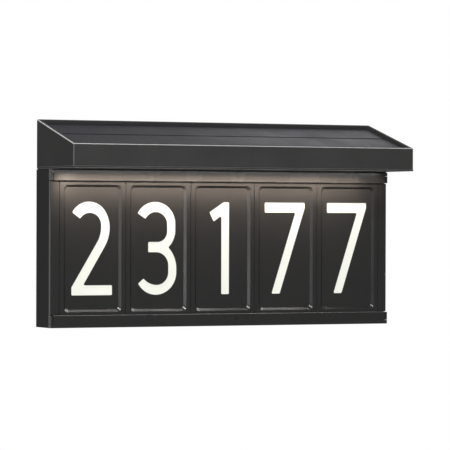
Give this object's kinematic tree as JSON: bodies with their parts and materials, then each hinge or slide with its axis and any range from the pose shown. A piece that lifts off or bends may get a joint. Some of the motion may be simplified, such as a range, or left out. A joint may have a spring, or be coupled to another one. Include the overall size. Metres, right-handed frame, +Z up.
{
  "type": "illuminated house number sign",
  "caption": "Black solar house number sign with glowing numerals on sliding tiles between two rails, under a deep canopy with a sloping solar panel and a warm downlight, hung on a wall bracket",
  "frame": {"origin": "centre of the wall bracket's four screw holes, on the wall plane", "axes": "+Z up, +Y into the wall, +X to the right of someone who reads the sign"},
  "size_m": [0.4014, 0.1017, 0.2205],
  "materials": {
    "bracket_steel": "satin",
    "screw_steel": "satin",
    "black_plastic": "satin",
    "black_rubber": "matt",
    "opal_lit": "satin",
    "opal_warm": "satin",
    "opal_sheet": "satin",
    "white_plastic": "satin",
    "board_white": "gloss",
    "led_lit": "gloss",
    "panel_glass": "gloss",
    "silicon": "gloss",
    "cell_wrap": "gloss",
    "spring_contact": "gloss",
    "board_green": "gloss",
    "component_black": "gloss",
    "lead_jacket": "satin"
  },
  "bodies": {
    "wall_bracket": {"wall_bracket": "bracket_steel"},
    "sign": {"back_cover": "black_plastic", "back_gasket": "black_rubber", "back_screws": "screw_steel", "housing": "black_plastic", "diffuser": "opal_sheet", "reflector_frame": "white_plastic", "backlight_board": "board_white", "backlight_leds": "led_lit", "bottom_rail": "black_plastic", "top_rail": "black_plastic", "canopy_shell": "black_plastic", "canopy_base": "black_plastic", "canopy_screws": "screw_steel", "canopy_gasket": "black_rubber", "joining_screws": "screw_steel", "solar_glass": "panel_glass", "solar_cells": "silicon", "solar_backsheet": "white_plastic", "solar_seal": "black_rubber", "downlight_lens": "opal_warm", "downlight_board": "board_white", "downlight_leds": "led_lit", "battery_cells": "cell_wrap", "battery_holder": "black_plastic", "battery_contacts": "spring_contact", "control_board": "board_green", "board_components": "component_black", "button_switch": "white_plastic", "solar_lead": "lead_jacket", "backlight_lead": "lead_jacket", "downlight_lead": "lead_jacket", "battery_lead": "lead_jacket"},
    "strip_left": {"end_strip_left": "black_plastic"},
    "strip_right": {"end_strip_right": "black_plastic"},
    "cap_top_left": {"rail_cap_top_left": "black_plastic"},
    "cap_bottom_left": {"rail_cap_bottom_left": "black_plastic"},
    "cap_top_right": {"rail_cap_top_right": "black_plastic"},
    "cap_bottom_right": {"rail_cap_bottom_right": "black_plastic"},
    "battery_door": {"battery_door": "black_plastic"},
    "power_button": {"power_button": "black_rubber", "switch_plunger": "white_plastic"},
    "tile_1": {"number_tile_1": "black_plastic", "numeral_1": "opal_lit"},
    "tile_2": {"number_tile_2": "black_plastic", "numeral_2": "opal_lit"},
    "tile_3": {"number_tile_3": "black_plastic", "numeral_3": "opal_lit"},
    "tile_4": {"number_tile_4": "black_plastic", "numeral_4": "opal_lit"},
    "tile_5": {"number_tile_5": "black_plastic", "numeral_5": "opal_lit"}
  },
  "joints": [
    {"name": "sign_lift", "type": "slide", "parent": "wall_bracket", "child": "sign", "axis": [0, 0, 1], "range_m": [0, 0.008]},
    {"name": "tile_1_slide", "type": "slide", "parent": "sign", "child": "tile_1", "axis": [1, 0, 0], "range_m": [0, 0.0864]},
    {"name": "tile_2_slide", "type": "slide", "parent": "tile_1", "child": "tile_2", "axis": [1, 0, 0], "range_m": [0, 0.0864]},
    {"name": "tile_3_slide", "type": "slide", "parent": "tile_2", "child": "tile_3", "axis": [1, 0, 0], "range_m": [0, 0.0864]},
    {"name": "tile_4_slide", "type": "slide", "parent": "tile_3", "child": "tile_4", "axis": [1, 0, 0], "range_m": [0, 0.0864]},
    {"name": "tile_5_slide", "type": "slide", "parent": "tile_4", "child": "tile_5", "axis": [1, 0, 0], "range_m": [0, 0.0864]},
    {"name": "strip_right_slide", "type": "slide", "parent": "tile_5", "child": "strip_right", "axis": [1, 0, 0], "range_m": [0, 0.012]},
    {"name": "strip_left_slide", "type": "slide", "parent": "sign", "child": "strip_left", "axis": [-1, 0, 0], "range_m": [0, 0.012]},
    {"name": "cap_top_right_pull", "type": "slide", "parent": "strip_right", "child": "cap_top_right", "axis": [1, 0, 0], "range_m": [0, 0.006]},
    {"name": "cap_bottom_right_pull", "type": "slide", "parent": "strip_right", "child": "cap_bottom_right", "axis": [1, 0, 0], "range_m": [0, 0.006]},
    {"name": "cap_top_left_pull", "type": "slide", "parent": "strip_left", "child": "cap_top_left", "axis": [-1, 0, 0], "range_m": [0, 0.006]},
    {"name": "cap_bottom_left_pull", "type": "slide", "parent": "strip_left", "child": "cap_bottom_left", "axis": [-1, 0, 0], "range_m": [0, 0.006]},
    {"name": "battery_door_slide", "type": "slide", "parent": "sign", "child": "battery_door", "axis": [1, 0, 0], "range_m": [0, 0.008]},
    {"name": "power_button_press", "type": "slide", "parent": "sign", "child": "power_button", "axis": [0, 0, 1], "range_m": [0, 0.0012], "stiffness_N_per_m": 300, "springref_m": -0.002}
  ]
}
